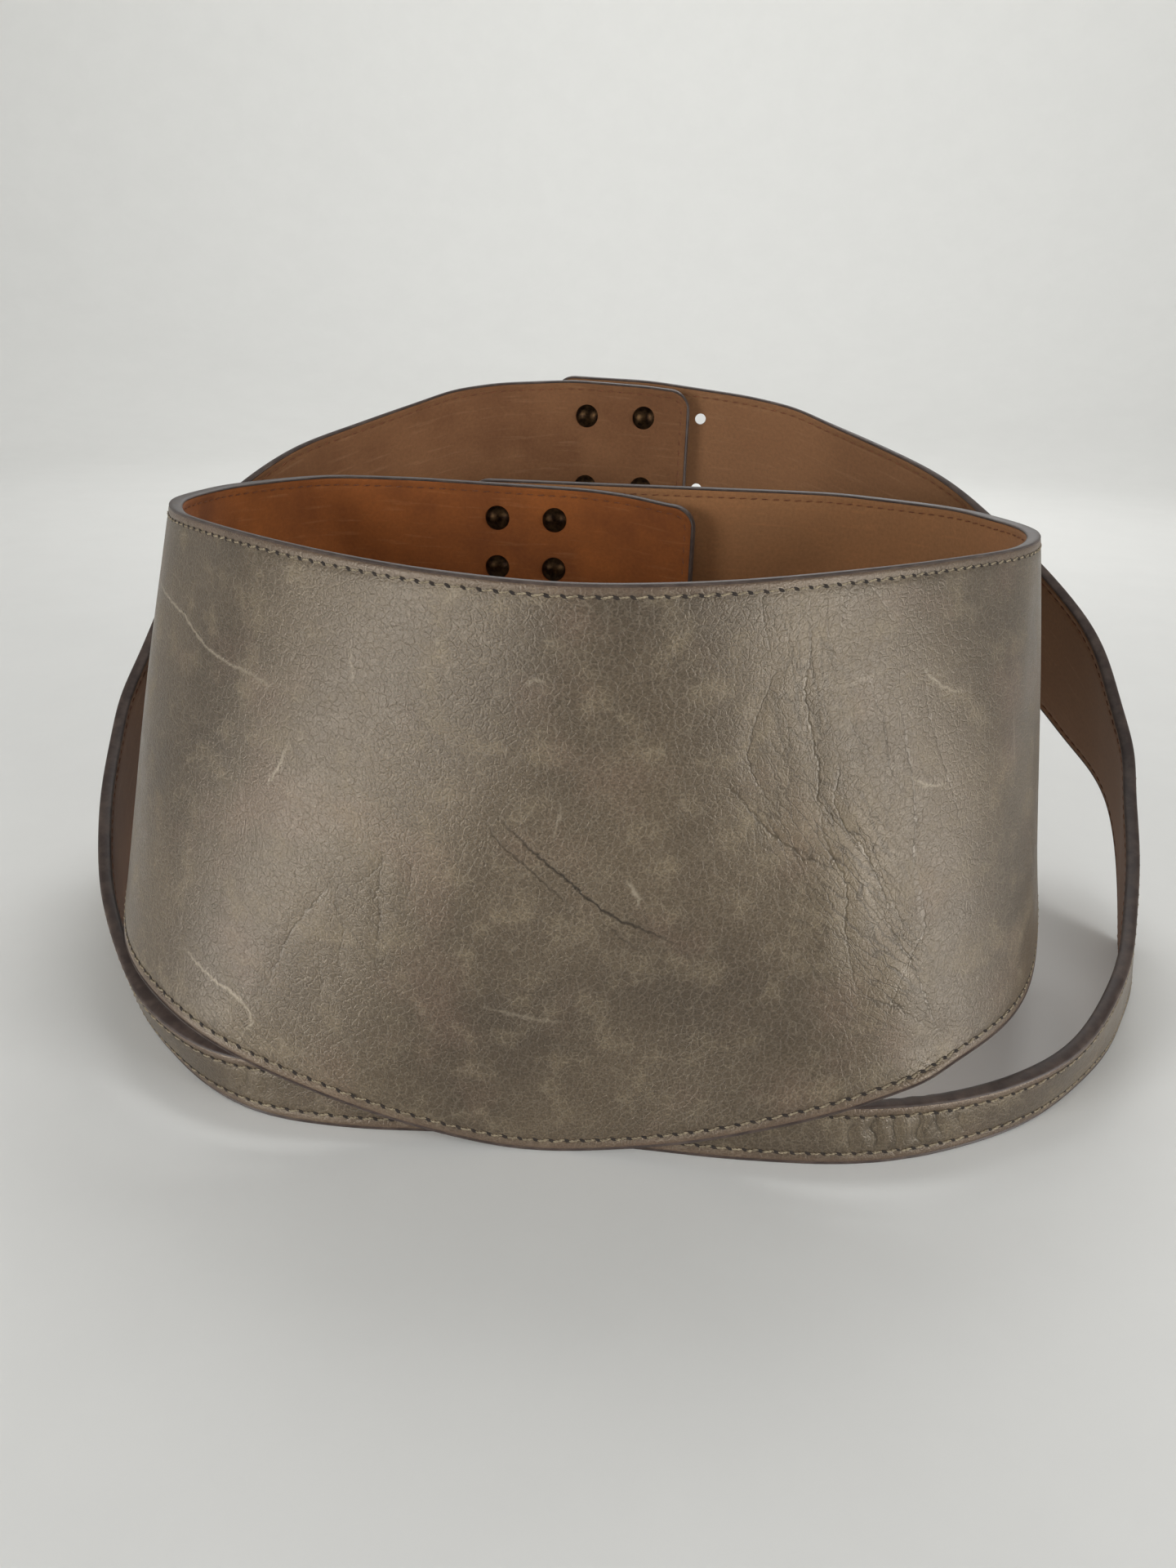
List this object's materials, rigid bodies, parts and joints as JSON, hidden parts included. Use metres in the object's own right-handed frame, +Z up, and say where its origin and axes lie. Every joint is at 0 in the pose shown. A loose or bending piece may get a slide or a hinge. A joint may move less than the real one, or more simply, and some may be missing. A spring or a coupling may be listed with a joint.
{
  "type": "two-strap leather waist belt",
  "caption": "Wide leather waist and hip belt: half-moon front panel, two lined straps overlapping at the back on button studs, standing as if worn.",
  "frame": {"origin": "centre of the bounding box at the surface the belt stands on", "axes": "+Z up, the front panel faces -Y, +X to the right seen from the front"},
  "size_m": [0.3724, 0.259, 0.1785],
  "materials": {
    "greige_leather": "waxed full-grain leather, scuffed",
    "stiffener_board": "bonded leather board",
    "tan_lining": "brushed tan lining leather",
    "aged_brass": "dark antique brass"
  },
  "bodies": {
    "front": {"waist_panel_leather": "greige_leather", "waist_panel_lining": "tan_lining", "waist_panel_stiffener": "stiffener_board", "hip_front_leather": "greige_leather", "hip_front_lining": "tan_lining", "hip_front_stiffener": "stiffener_board"},
    "waist_tab_end": {"waist_tab_leather": "greige_leather", "waist_tab_lining": "tan_lining", "waist_tab_stiffener": "stiffener_board", "waist_stud_1": "aged_brass", "waist_stud_2": "aged_brass", "waist_stud_3": "aged_brass", "waist_stud_4": "aged_brass", "waist_stud_back_1": "aged_brass", "waist_stud_back_2": "aged_brass", "waist_stud_back_3": "aged_brass", "waist_stud_back_4": "aged_brass"},
    "waist_strap_end": {"waist_strap_leather": "greige_leather", "waist_strap_lining": "tan_lining", "waist_strap_stiffener": "stiffener_board"},
    "hip_tab_end": {"hip_tab_leather": "greige_leather", "hip_tab_lining": "tan_lining", "hip_tab_stiffener": "stiffener_board", "hip_stud_1": "aged_brass", "hip_stud_2": "aged_brass", "hip_stud_3": "aged_brass", "hip_stud_4": "aged_brass", "hip_stud_back_1": "aged_brass", "hip_stud_back_2": "aged_brass", "hip_stud_back_3": "aged_brass", "hip_stud_back_4": "aged_brass"},
    "hip_strap_end": {"hip_strap_leather": "greige_leather", "hip_strap_lining": "tan_lining", "hip_strap_stiffener": "stiffener_board"}
  },
  "joints": [
    {"name": "waist_tab_bend", "type": "hinge", "parent": "front", "child": "waist_tab_end", "pos_m": [-0.09817, 0.05945, 0.121], "axis": [0, 0, -1], "range_deg": [0, 60], "stiffness_Nm_per_rad": 0.2},
    {"name": "waist_strap_bend", "type": "hinge", "parent": "front", "child": "waist_strap_end", "pos_m": [0.06365, 0.06286, 0.121], "axis": [0, 0, -1], "range_deg": [0, 8], "stiffness_Nm_per_rad": 0.2},
    {"name": "hip_tab_bend", "type": "hinge", "parent": "front", "child": "hip_tab_end", "pos_m": [-0.08017, 0.11885, 0.144], "axis": [0, 0, -1], "range_deg": [0, 8], "stiffness_Nm_per_rad": 0.2},
    {"name": "hip_strap_bend", "type": "hinge", "parent": "front", "child": "hip_strap_end", "pos_m": [0.06362, 0.12206, 0.144], "axis": [0, 0, -1], "range_deg": [0, 80], "stiffness_Nm_per_rad": 0.2}
  ]
}
